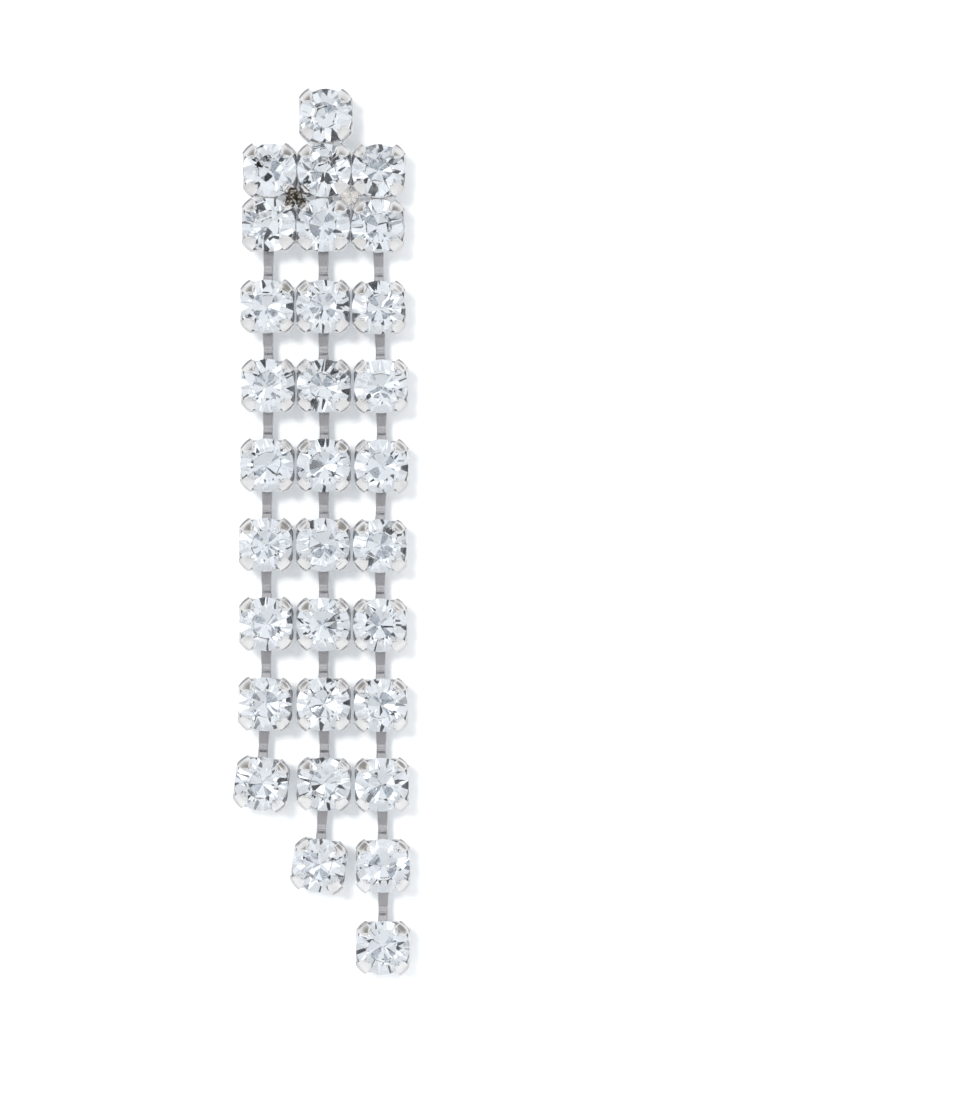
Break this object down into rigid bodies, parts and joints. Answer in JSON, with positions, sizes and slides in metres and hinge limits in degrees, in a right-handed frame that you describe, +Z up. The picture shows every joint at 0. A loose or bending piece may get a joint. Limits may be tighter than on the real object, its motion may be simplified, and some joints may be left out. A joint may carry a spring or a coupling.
{
  "type": "chandelier earring",
  "caption": "Drop earring of claw-set round clear stones: a soldered block at the ear post with stepped strands of linked settings hanging from it.",
  "frame": {"origin": "on the ear post's axis, on the back face of its pad, where the post enters the ear lobe", "axes": "+Z up as the earring hangs, +Y backwards along the post, +X to the right as seen from the front"},
  "size_m": [0.0154, 0.0142, 0.0767],
  "materials": {
    "silver_metal": "bright rhodium plating with fine scratches, warmer and duller in the solder",
    "crystal": "clear faceted glass with a silver foil back"
  },
  "bodies": {
    "root": {"top_setting": "silver_metal", "left_strand": "silver_metal", "middle_strand": "silver_metal", "right_strand": "silver_metal", "ear_post": "silver_metal", "stone_top": "crystal", "stone_upper_left": "crystal", "stone_upper_middle": "crystal", "stone_upper_right": "crystal", "stone_lower_left": "crystal", "stone_lower_middle": "crystal", "stone_lower_right": "crystal", "stone_left_1": "crystal", "stone_left_2": "crystal", "stone_left_3": "crystal", "stone_left_4": "crystal", "stone_left_5": "crystal", "stone_left_6": "crystal", "stone_left_7": "crystal", "stone_middle_1": "crystal", "stone_middle_2": "crystal", "stone_middle_3": "crystal", "stone_middle_4": "crystal", "stone_middle_5": "crystal", "stone_middle_6": "crystal", "stone_middle_7": "crystal", "stone_middle_8": "crystal", "stone_right_1": "crystal", "stone_right_2": "crystal", "stone_right_3": "crystal", "stone_right_4": "crystal", "stone_right_5": "crystal", "stone_right_6": "crystal", "stone_right_7": "crystal", "stone_right_8": "crystal", "stone_right_9": "crystal"}
  },
  "joints": []
}
